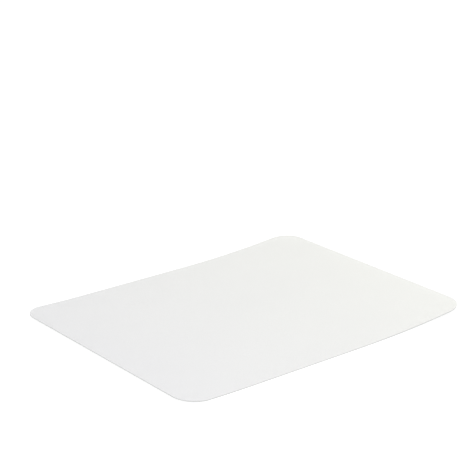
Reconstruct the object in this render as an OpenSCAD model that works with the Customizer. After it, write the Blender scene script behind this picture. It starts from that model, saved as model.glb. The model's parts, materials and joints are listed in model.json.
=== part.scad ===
// Chair mat for a hard floor: a thin rigid sheet with an anti-slip layer bonded under it.
// Millimetres, +Z up. The origin is on the floor under the middle of the mat.
// +X runs along the mat, the way it is rolled for carriage, and +Y across it.
// The sheet keeps a little of its roll: the middle lies flat and both ends lift off the floor.

/* [Outline] */
// Length of the mat
mat_length = 1150; // [900:10:1500]
// Width of the mat
mat_width = 900; // [700:10:1200]
// Radius of the four corners
corner_r = 75; // [40:5:150]

/* [Layers] */
// Thickness of the clear rigid sheet
sheet_t = 2.0; // [1.5:0.1:4]
// Thickness of the bonded anti-slip layer
backing_t = 0.4; // [0.3:0.1:1]

/* [Roll set] */
// Radius of the bend that rolling leaves in the ends, to the underside
bend_r = 4500; // [3000:100:9000]
// Length of the lifted stretch at the +X end
front_lift_run = 480; // [100:10:500]
// Length of the lifted stretch at the -X end
rear_lift_run = 250; // [100:10:300]

/* [Hidden] */

// Outermost underside height at the more lifted end
lift_max = bend_r - sqrt(pow(bend_r, 2) - pow(max(front_lift_run, rear_lift_run), 2));
// Height of the prism that trims the layers to the outline, with clearance over the lifted end
trim_h = lift_max + backing_t + sheet_t + 5;
// How far the trimming prism starts below the floor
trim_below = 1;
// Extra sweep of a bent end past the outline, trimmed off again, in degrees
sweep_margin = 0.2;
// Circle segments of the corners
corner_fn = 128;
// Circle segments of a full turn of the bend
bend_fn = 720;

// Outline of the mat seen from above
module outline() {
    square([mat_length - 2 * corner_r, mat_width], center = true);
    square([mat_length, mat_width - 2 * corner_r], center = true);
    for (x = [-1, 1], y = [-1, 1])
        translate([x * (mat_length / 2 - corner_r), y * (mat_width / 2 - corner_r)])
            circle(corner_r, $fn = corner_fn);
}

// One lifted end of a layer that fills the heights z_low to z_high where the mat lies flat.
// It starts at X = 0 and bends upwards towards +X about an axis over the floor.
module lifted_end(run, z_low, z_high) {
    r_inner = bend_r - z_high;
    sweep = asin(run / r_inner) + sweep_margin;
    translate([0, mat_width / 2, bend_r])
        rotate([90, 90, 0])
            rotate_extrude(angle = sweep, $fn = bend_fn)
                translate([r_inner, 0])
                    square([z_high - z_low, mat_width]);
}

// A layer of the mat, cut to the outline, between two heights over the floor
module layer(z_low, z_high) {
    flat_start = rear_lift_run - mat_length / 2;
    flat_end = mat_length / 2 - front_lift_run;
    intersection() {
        translate([0, 0, -trim_below])
            linear_extrude(trim_h + trim_below)
                outline();
        union() {
            translate([flat_start, -mat_width / 2, z_low])
                cube([flat_end - flat_start, mat_width, z_high - z_low]);
            translate([flat_end, 0, 0])
                lifted_end(front_lift_run, z_low, z_high);
            translate([flat_start, 0, 0])
                mirror([1, 0, 0])
                    lifted_end(rear_lift_run, z_low, z_high);
        }
    }
}

// Anti-slip layer that grips the floor
module grip_backing() {
    color([0.86, 0.87, 0.86])
        layer(0, backing_t);
}

// Clear rigid sheet that the castors roll on
module mat_sheet() {
    color([0.92, 0.93, 0.92])
        layer(backing_t, backing_t + sheet_t);
}

grip_backing();
mat_sheet();
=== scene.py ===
"""A chair mat for a hard floor: a clear rigid sheet with a matte top and an anti-slip layer bonded
under it. The middle lies flat, and both ends keep a slight lift from having been rolled."""

import json
import math

import bpy
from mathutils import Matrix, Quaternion, Vector


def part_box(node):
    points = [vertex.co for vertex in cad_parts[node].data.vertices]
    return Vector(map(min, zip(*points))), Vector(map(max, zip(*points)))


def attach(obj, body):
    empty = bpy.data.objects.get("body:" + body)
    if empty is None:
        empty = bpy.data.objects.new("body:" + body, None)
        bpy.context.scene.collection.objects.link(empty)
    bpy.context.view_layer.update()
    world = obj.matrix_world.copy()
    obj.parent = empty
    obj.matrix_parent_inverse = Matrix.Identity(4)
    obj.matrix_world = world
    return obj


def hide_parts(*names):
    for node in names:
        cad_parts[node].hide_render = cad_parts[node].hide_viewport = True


bl_info = {
    "name": "Chair Mat",
    "version": (1, 0, 0),
    "blender": (4, 5, 0),
    "location": "View3D > Sidebar > Chair Mat",
    "description": "Builds a translucent chair mat and a plain studio around its packed frame",
    "category": "Object",
}

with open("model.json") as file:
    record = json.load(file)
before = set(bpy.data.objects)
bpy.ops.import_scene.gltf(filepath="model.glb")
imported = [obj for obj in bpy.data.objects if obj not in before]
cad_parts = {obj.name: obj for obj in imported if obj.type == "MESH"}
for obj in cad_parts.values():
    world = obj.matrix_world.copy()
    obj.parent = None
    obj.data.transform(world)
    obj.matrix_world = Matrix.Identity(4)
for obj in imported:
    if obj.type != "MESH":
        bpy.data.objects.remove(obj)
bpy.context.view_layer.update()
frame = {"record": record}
SHEET_LOW, SHEET_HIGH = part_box("mat_sheet")
BACKING_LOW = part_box("grip_backing")[0]
MOUNTS = {mount["name"]: Vector(mount["pos_m"]) for mount in frame["record"]["mounts"]}

MM = 0.001

# ---------------------------------------------------------------- node maths


class Value:
    """An output socket of a node tree. Arithmetic on it adds one Math node for each operation."""

    def __init__(self, tree, socket):
        self.tree = tree
        self.socket = socket

    def output(self, key):
        """Another output, by name or number, of the node that this value comes from."""
        return Value(self.tree, self.socket.node.outputs[key])

    def maths(self, operation, *operands):
        """One Math node on this value and the operands, in that order."""
        inputs = dict(enumerate((self, *operands)))
        return add_node(self.tree, "ShaderNodeMath", {"operation": operation}, inputs)

    def __add__(self, other):
        return self.maths("ADD", other)

    __radd__ = __add__

    def __mul__(self, other):
        return self.maths("MULTIPLY", other)

    __rmul__ = __mul__

    def __sub__(self, other):
        return self.maths("SUBTRACT", other)

    def __rsub__(self, other):
        operands = {0: other, 1: self}
        return add_node(self.tree, "ShaderNodeMath", {"operation": "SUBTRACT"}, operands)

    def __truediv__(self, other):
        return self.maths("DIVIDE", other)

    def __abs__(self):
        return self.maths("ABSOLUTE")

    def at_least(self, other):
        return self.maths("MAXIMUM", other)

    def at_most(self, other):
        return self.maths("MINIMUM", other)


def add_node(tree, kind, settings=None, inputs=None):
    """Adds a node: its settings first, then the values or links of its sockets, by name or number.
    Returns its first output that is in use, or the node itself if it has none."""
    made = tree.nodes.new(kind)
    for name, setting in (settings or {}).items():
        setattr(made, name, setting)
    for key, given in (inputs or {}).items():
        for item in given if isinstance(given, list) else [given]:
            if isinstance(item, Value):
                tree.links.new(item.socket, made.inputs[key])
            else:
                made.inputs[key].default_value = item
    outputs = [socket for socket in made.outputs if socket.enabled]
    return Value(tree, outputs[0]) if outputs else made


def add_inputs(tree, sockets):
    """Declares a tree's named inputs, {name: socket type}, and returns each one's value by name."""
    for name, kind in sockets.items():
        tree.interface.new_socket(name=name, in_out="INPUT", socket_type=kind)
    made = tree.nodes.new("NodeGroupInput")
    return {name: Value(tree, made.outputs[name]) for name in sockets}


# ---------------------------------------------------------------- settings


class MatSizes(bpy.types.PropertyGroup):
    """Sizes of the mat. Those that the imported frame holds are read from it."""

    length: bpy.props.FloatProperty(
        name="Length", description="Along the way the mat is rolled",
        default=SHEET_HIGH.x - SHEET_LOW.x, subtype="DISTANCE", unit="LENGTH",
    )
    width: bpy.props.FloatProperty(
        name="Width", description="Across the way the mat is rolled",
        default=SHEET_HIGH.y - SHEET_LOW.y, subtype="DISTANCE", unit="LENGTH",
    )
    corner_radius: bpy.props.FloatProperty(
        name="Corner radius", description="Radius of the four corners, seen from above",
        default=75 * MM, subtype="DISTANCE", unit="LENGTH",
    )
    bond_height: bpy.props.FloatProperty(
        name="Bond height", description="Where the anti-slip layer ends and the sheet starts",
        default=SHEET_LOW.z, subtype="DISTANCE", unit="LENGTH",
    )
    top_height: bpy.props.FloatProperty(
        name="Top height", description="Height of the face that castors roll on",
        default=MOUNTS["chair_face"].z, subtype="DISTANCE", unit="LENGTH",
    )
    bend_radius: bpy.props.FloatProperty(
        name="Bend radius", description="Radius that rolling left in the ends, to the underside",
        default=4500 * MM, subtype="DISTANCE", unit="LENGTH",
    )
    front_lift_run: bpy.props.FloatProperty(
        name="Front lift", description="Length of the stretch that lifts at the +X end",
        default=480 * MM, subtype="DISTANCE", unit="LENGTH",
    )
    rear_lift_run: bpy.props.FloatProperty(
        name="Rear lift", description="Length of the stretch that lifts at the -X end",
        default=250 * MM, subtype="DISTANCE", unit="LENGTH",
    )
    sheet_edge_radius: bpy.props.FloatProperty(
        name="Sheet edge radius", description="Rounding of the sheet's upper and lower cut edge",
        default=0.5 * MM, subtype="DISTANCE", unit="LENGTH",
    )
    backing_edge_radius: bpy.props.FloatProperty(
        name="Backing edge radius", description="Rounding of the soft layer's cut edge",
        default=0.12 * MM, subtype="DISTANCE", unit="LENGTH",
    )


class MatFinish(bpy.types.PropertyGroup):
    """Colours and surface of the mat's materials."""

    sheet_colour: bpy.props.FloatVectorProperty(
        name="Sheet", description="Colour of the light that the sheet scatters",
        default=(0.666, 0.665, 0.672), subtype="COLOR", min=0, max=1,
    )
    # Painted light: the sheet's colour turns lighter and slightly yellower towards the +X end, as if
    # more light fell on that end.
    painted_light_end_colour: bpy.props.FloatVectorProperty(
        name="Sheet at the front", description="The sheet's painted lighter, yellower tone towards the +X end",
        default=(0.732, 0.735, 0.701), subtype="COLOR", min=0, max=1,
    )
    haze: bpy.props.FloatProperty(
        name="Haze", description="How much of what lies under the sheet its matte top hides",
        default=0.80, subtype="FACTOR", min=0, max=1,
    )
    roughness: bpy.props.FloatProperty(
        name="Top roughness", description="Roughness of the matte top face",
        default=0.55, subtype="FACTOR", min=0, max=1,
    )
    grain_size: bpy.props.FloatProperty(
        name="Grain size", description="Size of the grain pressed into the top face",
        default=1.6 * MM, subtype="DISTANCE", unit="LENGTH",
    )
    rim_colour: bpy.props.FloatVectorProperty(
        name="Cut rim", description="Colour of the rim, where light has come a long way through",
        default=(0.47, 0.48, 0.475), subtype="COLOR", min=0, max=1,
    )
    pebble_size: bpy.props.FloatProperty(
        name="Pebble size", description="Size of the pebbles that the anti-slip layer grips with",
        default=2.2 * MM, subtype="DISTANCE", unit="LENGTH",
    )
    backing_colour: bpy.props.FloatVectorProperty(
        name="Anti-slip layer", description="Colour of the soft layer under the sheet",
        default=(0.66, 0.67, 0.66), subtype="COLOR", min=0, max=1,
    )


class MatStudio(bpy.types.PropertyGroup):
    """The floor, the lamps and the camera."""

    view_azimuth: bpy.props.FloatProperty(
        name="View azimuth", description="Turn of the camera about the mat; 0 looks along +Y",
        default=math.radians(-39.16), subtype="ANGLE", unit="ROTATION",
    )
    view_elevation: bpy.props.FloatProperty(
        name="View elevation", description="Height of the camera above the horizon",
        default=math.radians(19.57), subtype="ANGLE", unit="ROTATION",
    )
    view_roll: bpy.props.FloatProperty(
        name="View roll", description="Tilt of the camera about the way it looks",
        default=math.radians(0.19), subtype="ANGLE", unit="ROTATION",
    )
    view_distance: bpy.props.FloatProperty(
        name="View distance", description="From the camera to the floor it looks at",
        default=5.636, subtype="DISTANCE", unit="LENGTH",
    )
    view_target: bpy.props.FloatVectorProperty(
        name="View target", description="Point of the floor in the middle of the view",
        default=(0.4533, 0.606, 0), subtype="TRANSLATION", unit="LENGTH",
    )
    lens: bpy.props.FloatProperty(
        name="Lens", description="Focal length on a 36 mm sensor", default=115,
        subtype="DISTANCE_CAMERA", unit="CAMERA",
    )
    floor_colour: bpy.props.FloatVectorProperty(
        name="Floor", description="Colour of the plain floor",
        default=(0.95, 0.95, 0.95), subtype="COLOR", min=0, max=1,
    )
    sky: bpy.props.FloatProperty(
        name="Room light", description="Strength of the even light from all round", default=0.88,
    )
    overhead: bpy.props.FloatProperty(
        name="Overhead light", description="Strength of the broad light from above, in W/m2",
        default=0.85,
    )
    key: bpy.props.FloatProperty(
        name="Key lamp", description="Power of the soft lamp on the camera's side of the mat",
        default=38, subtype="POWER", unit="POWER",
    )


# ---------------------------------------------------------------- the bent layer

CORNER_STEPS = 20  # columns over each corner, and half the columns between two corners
ROWS = 24  # rows across the mat, an even number
EDGE_STEPS = 4  # faces round each rounded edge of the rim
RIM_LEVELS = 2 * EDGE_STEPS + 1  # rings of faces up the rim: two rounded edges and the wall
WALL_MIDDLE = RIM_LEVELS / 2  # level half way up the wall; what is over it follows the upper edge
RIM_BAND = 0.6 * MM  # width of the outermost row, which keeps the flat face's shading flat
WELD = 0.001  # merging distance on the plain block, far less than the gap between its vertices
FLAT_MARGIN = 0.25  # the two flat faces lie nearer than this to level 0 and to RIM_LEVELS


def bent_layer_tree():
    """A node tree that makes one layer of the mat as a closed shell of quads.
    It starts as a block: columns and rows from -1/2 to 1/2 and one unit of height for each ring of
    the rim. A rule then puts each vertex on the rounded outline, the rounded edge and the bend."""
    tree = bpy.data.node_groups.new("Bent layer", "GeometryNodeTree")
    tree.interface.new_socket(name="Geometry", in_out="OUTPUT", socket_type="NodeSocketGeometry")
    given = add_inputs(tree, {
        "Length": "NodeSocketFloat", "Width": "NodeSocketFloat",
        "Corner Radius": "NodeSocketFloat", "Low": "NodeSocketFloat", "High": "NodeSocketFloat",
        "Edge Radius": "NodeSocketFloat", "Bend Radius": "NodeSocketFloat",
        "Front Lift Run": "NodeSocketFloat", "Rear Lift Run": "NodeSocketFloat",
        "Face Material": "NodeSocketMaterial", "Rim Material": "NodeSocketMaterial",
        "Under Material": "NodeSocketMaterial",
    })

    # The block: a grid for the underside, and the same grid raised ring by ring for the rest
    grid = add_node(tree, "GeometryNodeMeshGrid", None, {
        "Size X": 1.0, "Size Y": 1.0,
        "Vertices X": 4 * CORNER_STEPS + 1, "Vertices Y": ROWS + 1,
    })
    underside = add_node(tree, "GeometryNodeFlipFaces", None, {"Mesh": grid})
    raised, top = grid, True
    for _ in range(RIM_LEVELS):
        raised = add_node(tree, "GeometryNodeExtrudeMesh", {"mode": "FACES"}, {
            "Mesh": raised, "Selection": top, "Offset": (0, 0, 1), "Offset Scale": 1.0,
            "Individual": False,
        })
        top = raised.output("Top")
    block = add_node(tree, "GeometryNodeJoinGeometry", None, {"Geometry": [underside, raised]})
    block = add_node(tree, "GeometryNodeMergeByDistance", None,
                     {"Geometry": block, "Distance": WELD})
    place = add_node(tree, "GeometryNodeInputPosition")
    along = add_node(tree, "ShaderNodeSeparateXYZ", None, {"Vector": place})
    across, level = along.output("Y"), along.output("Z")
    block = add_node(tree, "GeometryNodeCaptureAttribute", {"domain": "FACE"}, {"Geometry": block})
    kept = block.socket.node
    kept.capture_items.new("FLOAT", "Level")
    tree.links.new(level.socket, kept.inputs["Level"])
    face_level = block.output("Level")

    # The rim's section: how far in from the outline and how high over the floor a ring lies
    under_turn = (level / EDGE_STEPS).at_most(1)
    over_turn = ((RIM_LEVELS - level) / EDGE_STEPS).at_most(1)
    quarter = math.pi / 2
    edge = given["Edge Radius"]
    turn = under_turn.at_most(over_turn) * quarter
    inset = edge * (1 - turn.maths("SINE"))
    under_rise = edge * (1 - (under_turn * quarter).maths("COSINE"))
    over_drop = edge * (1 - (over_turn * quarter).maths("COSINE"))
    is_over = level.maths("GREATER_THAN", WALL_MIDDLE)
    height = (
        given["Low"] + under_rise
        + is_over * (given["High"] - given["Low"] - under_rise - over_drop)
    )

    # The outline, set in by the rim's section. A column is 0 in the middle of the mat, 1 where a
    # corner starts and 2 where it ends; a row is counted from the middle.
    radius = given["Corner Radius"] - inset
    half_length = given["Length"] / 2 - inset
    half_width = given["Width"] / 2 - inset
    column = abs(along) * 4
    corner_turn = (column - 1).at_least(0) * quarter
    x = along.maths("SIGN") * (
        column.at_most(1) * (half_length - radius) + radius * corner_turn.maths("SINE")
    )
    reach = half_width - radius + radius * corner_turn.maths("COSINE")
    row = abs(across) * ROWS
    inner_rows = ROWS / 2 - 1
    y = across.maths("SIGN") * (
        (row / inner_rows).at_most(1) * (reach - RIM_BAND)
        + (row - inner_rows).at_least(0) * RIM_BAND
    )

    # The bend: past the flat stretch each height follows an arc about an axis over the floor
    past_front = x - (given["Length"] / 2 - given["Front Lift Run"])
    past_rear = (given["Rear Lift Run"] - given["Length"] / 2) - x
    run = past_front.at_least(past_rear).at_least(0)
    arc = given["Bend Radius"] - height
    z = given["Bend Radius"] - (arc * arc - run * run).maths("SQRT")

    put = add_node(tree, "ShaderNodeCombineXYZ", None, {"X": x, "Y": y, "Z": z})
    shell = add_node(tree, "GeometryNodeSetPosition", None, {"Geometry": block, "Position": put})
    shell = add_node(tree, "GeometryNodeSetShadeSmooth", None,
                     {"Geometry": shell, "Shade Smooth": True})
    shell = add_node(tree, "GeometryNodeRealizeInstances", None, {"Geometry": shell})
    parts = {
        "Face Material": True,
        "Rim Material": face_level.maths("LESS_THAN", RIM_LEVELS - FLAT_MARGIN),
        "Under Material": face_level.maths("LESS_THAN", FLAT_MARGIN),
    }
    for material, chosen in parts.items():
        shell = add_node(tree, "GeometryNodeSetMaterial", None,
                         {"Geometry": shell, "Selection": chosen, "Material": given[material]})
    result = tree.nodes.new("NodeGroupOutput")
    tree.links.new(shell.socket, result.inputs["Geometry"])
    return tree


def bent_layer(name, low, high, edge_radius, materials):
    """A layer of the mat between two heights over the floor, as a plain mesh object.
    materials are those of its upper face, its rim and its underside."""
    sizes = bpy.context.scene.mat_sizes
    tree = bpy.data.node_groups.get("Bent layer") or bent_layer_tree()
    values = {
        "Length": sizes.length, "Width": sizes.width, "Corner Radius": sizes.corner_radius,
        "Low": low, "High": high, "Edge Radius": edge_radius,
        "Bend Radius": sizes.bend_radius, "Front Lift Run": sizes.front_lift_run,
        "Rear Lift Run": sizes.rear_lift_run, "Face Material": materials[0],
        "Rim Material": materials[1], "Under Material": materials[2],
    }
    identifiers = {
        item.name: item.identifier
        for item in tree.interface.items_tree if item.in_out == "INPUT"
    }
    draft = bpy.data.objects.new(name + "_draft", bpy.data.meshes.new(name + "_draft"))
    bpy.context.scene.collection.objects.link(draft)
    maker = draft.modifiers.new("Bent layer", "NODES")
    maker.node_group = tree
    for label, value in values.items():
        maker[identifiers[label]] = value
    depsgraph = bpy.context.evaluated_depsgraph_get()
    mesh = bpy.data.meshes.new_from_object(draft.evaluated_get(depsgraph))
    mesh.name = name
    bpy.data.objects.remove(draft)
    piece = bpy.data.objects.new(name, mesh)
    # The floor under a milky sheet is lit about as well as the floor beside it: room light reaches
    # it through the sheet, and only the lamps cast the sheet's shadow.
    piece.visible_diffuse = False
    bpy.context.scene.collection.objects.link(piece)
    if len(mesh.polygons) == 0:
        raise RuntimeError(name + " came out empty")
    return piece


# ---------------------------------------------------------------- materials

PLASTIC_IOR = 1.58
RUBBER_IOR = 1.45

# How much each face hides, from 0 to 1. The top face's is the haze, a setting of the finish.
RIM_COVER = 0.95
BONDED_SHEET_COVER = 0.3
BONDED_LAYER_COVER = 0.1
GRIP_COVER = 0.5

# How deep each relief is
GRAIN_DEPTH = 0.16 * MM
CUT_DEPTH = 0.05 * MM
PEBBLE_DEPTH = 0.3 * MM

# The grain's field is a pit up to the first value and a crest from the second
GRAIN_PIT, GRAIN_CREST = 0.3, 0.7
# Painted shade: the grain's pits are coloured darker than its crests, as if shade lay in them.
PIT_PAINTED_SHADE = 0.93  # how light a pit is beside a crest
GRAIN_SHARE = 0.6  # of the top's relief, the rest being a slower unevenness

# Sockets of a Mix node that mixes colours: its two ends and its result
MIX_FIRST, MIX_SECOND, MIX_RESULT = 6, 7, 2


def new_material(name, values):
    """A material with one Principled shader. Returns it, its tree, the shader node and the place."""
    material = bpy.data.materials.new(name)
    material.use_nodes = True
    tree = material.node_tree
    shader = tree.nodes["Principled BSDF"]
    for key, value in values.items():
        shader.inputs[key].default_value = value
    place = add_node(tree, "ShaderNodeTexCoord").output("Object")
    return material, tree, shader, place


def noise(tree, place, size, detail=2.0):
    """Cloudy noise from 0 to 1 with features of about that size, in metres."""
    return add_node(tree, "ShaderNodeTexNoise", {"noise_dimensions": "3D"}, {
        "Vector": place, "Scale": 1 / size, "Detail": detail,
    })


def between(low, high, pattern):
    """A number that runs from low to high as the pattern runs from 0 to 1."""
    return low + pattern * (high - low)


def shaded(colour, factor):
    """A colour made that much lighter or darker."""
    return tuple(min(channel * factor, 1) for channel in colour)


def mixed_colour(tree, share, first, second):
    """One Mix node between two colours, each of them plain or itself a mix."""
    first, second = (end if isinstance(end, Value) else (*end, 1) for end in (first, second))
    mix = add_node(tree, "ShaderNodeMix", {"data_type": "RGBA"},
                   {"Factor": share, MIX_FIRST: first, MIX_SECOND: second})
    return mix.output(MIX_RESULT)


def bump(tree, shader, height, depth):
    """Feeds the shader's Normal with a relief of that height field and depth, in metres."""
    relief = add_node(tree, "ShaderNodeBump", None, {"Height": height, "Distance": depth})
    tree.links.new(relief.socket, shader.inputs["Normal"])


def matte_face_material():
    """The sheet's top: clear plastic with a fine pressed grain, whose milky haze veils the floor."""
    finish = bpy.context.scene.mat_finish
    sizes = bpy.context.scene.mat_sizes
    material, tree, shader, place = new_material("Matte sheet face", {
        "IOR": PLASTIC_IOR, "Specular IOR Level": 0.35,
    })
    grain = noise(tree, place, finish.grain_size, detail=1.0)
    orange_peel = noise(tree, place, size=12 * MM)
    patches = noise(tree, place, size=60 * MM)
    cloud = noise(tree, place, size=350 * MM)

    along = add_node(tree, "ShaderNodeSeparateXYZ", None, {"Vector": place})
    # Painted light: the base colour runs from the sheet colour at the -X end to the lighter,
    # yellower end colour at +X, as if more light fell towards +X; the cloud only makes the change
    # uneven.
    from_rear = along / sizes.length + 0.5
    share = (from_rear + between(-0.1, 0.1, cloud)).at_least(0).at_most(1)
    ends = (finish.sheet_colour, finish.painted_light_end_colour)
    crest = mixed_colour(tree, share, *ends)
    # Painted shade: a darker copy of the sheet's colours, for the grain's pits.
    pit = mixed_colour(tree, share, *(shaded(end, PIT_PAINTED_SHADE) for end in ends))
    rise = (grain - GRAIN_PIT) / (GRAIN_CREST - GRAIN_PIT)
    colour = mixed_colour(tree, rise, pit, crest)
    tree.links.new(colour.socket, shader.inputs["Base Color"])

    roughness = finish.roughness + between(-0.05, 0.05, patches) + between(-0.04, 0.04, grain)
    tree.links.new(roughness.socket, shader.inputs["Roughness"])
    cover = finish.haze + between(-0.01, 0.01, cloud)
    tree.links.new(cover.socket, shader.inputs["Alpha"])
    bump(tree, shader, grain * GRAIN_SHARE + orange_peel * (1 - GRAIN_SHARE), GRAIN_DEPTH)
    return material


def cut_rim_material():
    """The sheet's cut rim: smooth, and darker because its light has come a long way through."""
    finish = bpy.context.scene.mat_finish
    material, tree, shader, place = new_material("Cut sheet rim", {
        "IOR": PLASTIC_IOR, "Alpha": RIM_COVER,
    })
    streaks = noise(tree, place, size=4 * MM, detail=3.0)
    colour = mixed_colour(tree, streaks, shaded(finish.rim_colour, 0.86), finish.rim_colour)
    tree.links.new(colour.socket, shader.inputs["Base Color"])
    roughness = between(0.22, 0.38, streaks)
    tree.links.new(roughness.socket, shader.inputs["Roughness"])
    bump(tree, shader, streaks, CUT_DEPTH)
    return material


def bond_face_material():
    """The sheet's smooth underside, wetted out by the layer that is bonded to it."""
    finish = bpy.context.scene.mat_finish
    material, tree, shader, place = new_material("Bonded sheet underside", {
        "IOR": PLASTIC_IOR, "Alpha": BONDED_SHEET_COVER,
    })
    patches = noise(tree, place, size=50 * MM)
    lighter = shaded(finish.sheet_colour, 1.05)
    colour = mixed_colour(tree, patches, finish.sheet_colour, lighter)
    tree.links.new(colour.socket, shader.inputs["Base Color"])
    roughness = between(0.2, 0.3, patches)
    tree.links.new(roughness.socket, shader.inputs["Roughness"])
    return material


def grip_material(name, cover):
    """The soft anti-slip layer: dull and finely pebbled. cover is how much it hides, 0 to 1."""
    finish = bpy.context.scene.mat_finish
    material, tree, shader, place = new_material(name, {"IOR": RUBBER_IOR, "Alpha": cover})
    patches = noise(tree, place, size=90 * MM)
    pebbles = add_node(tree, "ShaderNodeTexVoronoi", {"feature": "SMOOTH_F1"}, {
        "Vector": place, "Scale": 1 / finish.pebble_size, "Smoothness": 0.4,
    })
    light = finish.backing_colour
    crest = mixed_colour(tree, patches, shaded(light, 0.95), light)
    # Painted shade: between the pebbles, where the relief is lowest, the layer is coloured darker
    # than on their tops, as if shade lay in the hollows.
    colour = mixed_colour(tree, pebbles.at_most(1), crest, shaded(light, 0.80))
    tree.links.new(colour.socket, shader.inputs["Base Color"])
    roughness = between(0.72, 0.87, pebbles)
    tree.links.new(roughness.socket, shader.inputs["Roughness"])
    bump(tree, shader, 1 - pebbles, PEBBLE_DEPTH)
    return material


def floor_material():
    """A plain pale floor with a barely uneven finish."""
    light = bpy.context.scene.mat_studio.floor_colour
    material, tree, shader, place = new_material("Plain floor", {"Specular IOR Level": 0.1})
    patches = noise(tree, place, size=800 * MM)
    colour = mixed_colour(tree, patches, shaded(light, 0.985), light)
    tree.links.new(colour.socket, shader.inputs["Base Color"])
    roughness = between(0.75, 0.85, patches)
    tree.links.new(roughness.socket, shader.inputs["Roughness"])
    return material


# ---------------------------------------------------------------- pieces and stage

BOND_GAP = 0.02 * MM  # keeps the two bonded faces from lying in exactly one plane
FLOOR_GAP = 0.15 * MM  # keeps the underside and the floor from lying in exactly one plane
FLOOR_HALF = 25.0  # from the middle of the floor to each side, in metres
KEY_PLACE = (-0.9, -2.4, 3.0)  # of the soft key lamp, which faces the middle of the mat
KEY_SIZE = 2.0  # side of the square key lamp
OVERHEAD_SPREAD = math.radians(90)  # how wide the overhead light looks from the floor
SENSOR_WIDTH = 36  # of the camera, in millimetres
FAR_CLIP = 100  # how far the camera sees, in metres


class MAT_OT_sheet(bpy.types.Operator):
    """Build the clear rigid sheet"""

    bl_idname = "chair_mat.sheet"
    bl_label = "Clear sheet"
    bl_options = {"REGISTER", "UNDO"}

    def execute(self, context):
        sizes = context.scene.mat_sizes
        piece = bent_layer(
            "clear_sheet", sizes.bond_height, sizes.top_height, sizes.sheet_edge_radius,
            (matte_face_material(), cut_rim_material(), bond_face_material()),
        )
        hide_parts("mat_sheet")
        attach(piece, "root")
        return {"FINISHED"}


class MAT_OT_backing(bpy.types.Operator):
    """Build the anti-slip layer under the sheet"""

    bl_idname = "chair_mat.backing"
    bl_label = "Anti-slip layer"
    bl_options = {"REGISTER", "UNDO"}

    def execute(self, context):
        sizes = context.scene.mat_sizes
        bonded = grip_material("Anti-slip layer, bonded face", BONDED_LAYER_COVER)
        grip = grip_material("Anti-slip layer, gripping face", GRIP_COVER)
        rim = grip_material("Anti-slip layer, cut rim", RIM_COVER)
        piece = bent_layer(
            "anti_slip_layer", BACKING_LOW.z, sizes.bond_height - BOND_GAP,
            sizes.backing_edge_radius, (bonded, rim, grip),
        )
        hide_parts("grip_backing")
        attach(piece, "root")
        return {"FINISHED"}


class MAT_OT_stage(bpy.types.Operator):
    """Build the floor, the lamps and the camera"""

    bl_idname = "chair_mat.stage"
    bl_label = "Studio"
    bl_options = {"REGISTER", "UNDO"}

    def execute(self, context):
        scene = context.scene
        studio = scene.mat_studio
        add_floor()
        add_sky(studio.sky)
        add_overhead(studio.overhead)
        add_lamp("Soft key", KEY_PLACE, KEY_SIZE, studio.key)
        scene.camera = add_camera(studio)
        scene.view_settings.view_transform = "Standard"
        scene.view_settings.look = "None"
        return {"FINISHED"}


def add_floor():
    """A square of floor under the mat, large enough to run past every view."""
    mesh = bpy.data.meshes.new("floor")
    signs = ((-1, -1), (1, -1), (1, 1), (-1, 1))
    corners = [(x * FLOOR_HALF, y * FLOOR_HALF, -FLOOR_GAP) for x, y in signs]
    mesh.from_pydata(corners, [], [(0, 1, 2, 3)])
    mesh.materials.append(floor_material())
    floor = bpy.data.objects.new("floor", mesh)
    bpy.context.scene.collection.objects.link(floor)


def add_sky(strength):
    """Even white light from all round."""
    world = bpy.data.worlds.new("Studio")
    world.use_nodes = True
    background = world.node_tree.nodes["Background"]
    background.inputs["Color"].default_value = (1, 1, 1, 1)
    background.inputs["Strength"].default_value = strength
    bpy.context.scene.world = world


def add_overhead(strength):
    """Light that falls evenly on the whole floor, from a wide patch of ceiling."""
    data = bpy.data.lights.new("Overhead", "SUN")
    data.energy = strength
    data.angle = OVERHEAD_SPREAD
    bpy.context.scene.collection.objects.link(bpy.data.objects.new("Overhead", data))


def add_lamp(name, place, size, watts):
    """A square soft lamp that faces the middle of the mat."""
    data = bpy.data.lights.new(name, "AREA")
    data.size = size
    data.energy = watts
    lamp = bpy.data.objects.new(name, data)
    lamp.location = place
    lamp.rotation_mode = "QUATERNION"
    lamp.rotation_quaternion = (-Vector(place)).to_track_quat("-Z", "Y")
    bpy.context.scene.collection.objects.link(lamp)


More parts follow.
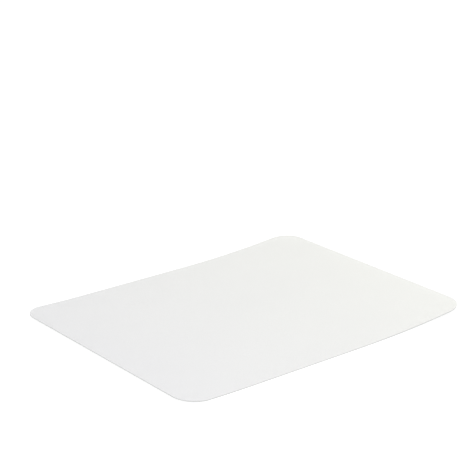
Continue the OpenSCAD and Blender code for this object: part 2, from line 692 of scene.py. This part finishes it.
def add_camera(studio):
    """The camera, on a line through its target with the studio's azimuth, elevation and roll."""
    azimuth, elevation = studio.view_azimuth, studio.view_elevation
    back = Vector((
        math.sin(azimuth) * math.cos(elevation),
        -math.cos(azimuth) * math.cos(elevation),
        math.sin(elevation),
    ))
    data = bpy.data.cameras.new("Camera")
    data.sensor_width = SENSOR_WIDTH
    data.lens = studio.lens
    data.clip_end = FAR_CLIP
    camera = bpy.data.objects.new("Camera", data)
    camera.location = Vector(studio.view_target) + back * studio.view_distance
    camera.rotation_mode = "QUATERNION"
    aim = (-back).to_track_quat("-Z", "Y")
    camera.rotation_quaternion = aim @ Quaternion((0, 0, 1), studio.view_roll)
    bpy.context.scene.collection.objects.link(camera)
    return camera


class MAT_PT_panel(bpy.types.Panel):
    """Sizes, finish and studio of the chair mat, and what builds them"""

    bl_idname = "MAT_PT_panel"
    bl_label = "Chair Mat"
    bl_space_type = "VIEW_3D"
    bl_region_type = "UI"
    bl_category = "Chair Mat"

    def draw(self, context):
        for settings in (context.scene.mat_sizes, context.scene.mat_finish,
                         context.scene.mat_studio):
            box = self.layout.box()
            for name in settings.bl_rna.properties.keys():
                if name not in ("rna_type", "name"):
                    box.prop(settings, name)
        for operator in BUILD_ORDER:
            self.layout.operator(operator.bl_idname)


BUILD_ORDER = (MAT_OT_stage, MAT_OT_backing, MAT_OT_sheet)
SETTINGS = {"mat_sizes": MatSizes, "mat_finish": MatFinish, "mat_studio": MatStudio}


def register():
    for name, group in SETTINGS.items():
        bpy.utils.register_class(group)
        setattr(bpy.types.Scene, name, bpy.props.PointerProperty(type=group))
    for kind in (*BUILD_ORDER, MAT_PT_panel):
        bpy.utils.register_class(kind)


def unregister():
    for kind in (MAT_PT_panel, *reversed(BUILD_ORDER)):
        bpy.utils.unregister_class(kind)
    for name, group in reversed(SETTINGS.items()):
        delattr(bpy.types.Scene, name)
        bpy.utils.unregister_class(group)


def main():
    """Registers the add-on and builds everything."""
    register()
    bpy.ops.chair_mat.stage()
    bpy.ops.chair_mat.backing()
    bpy.ops.chair_mat.sheet()


if __name__ == "__main__":
    main()
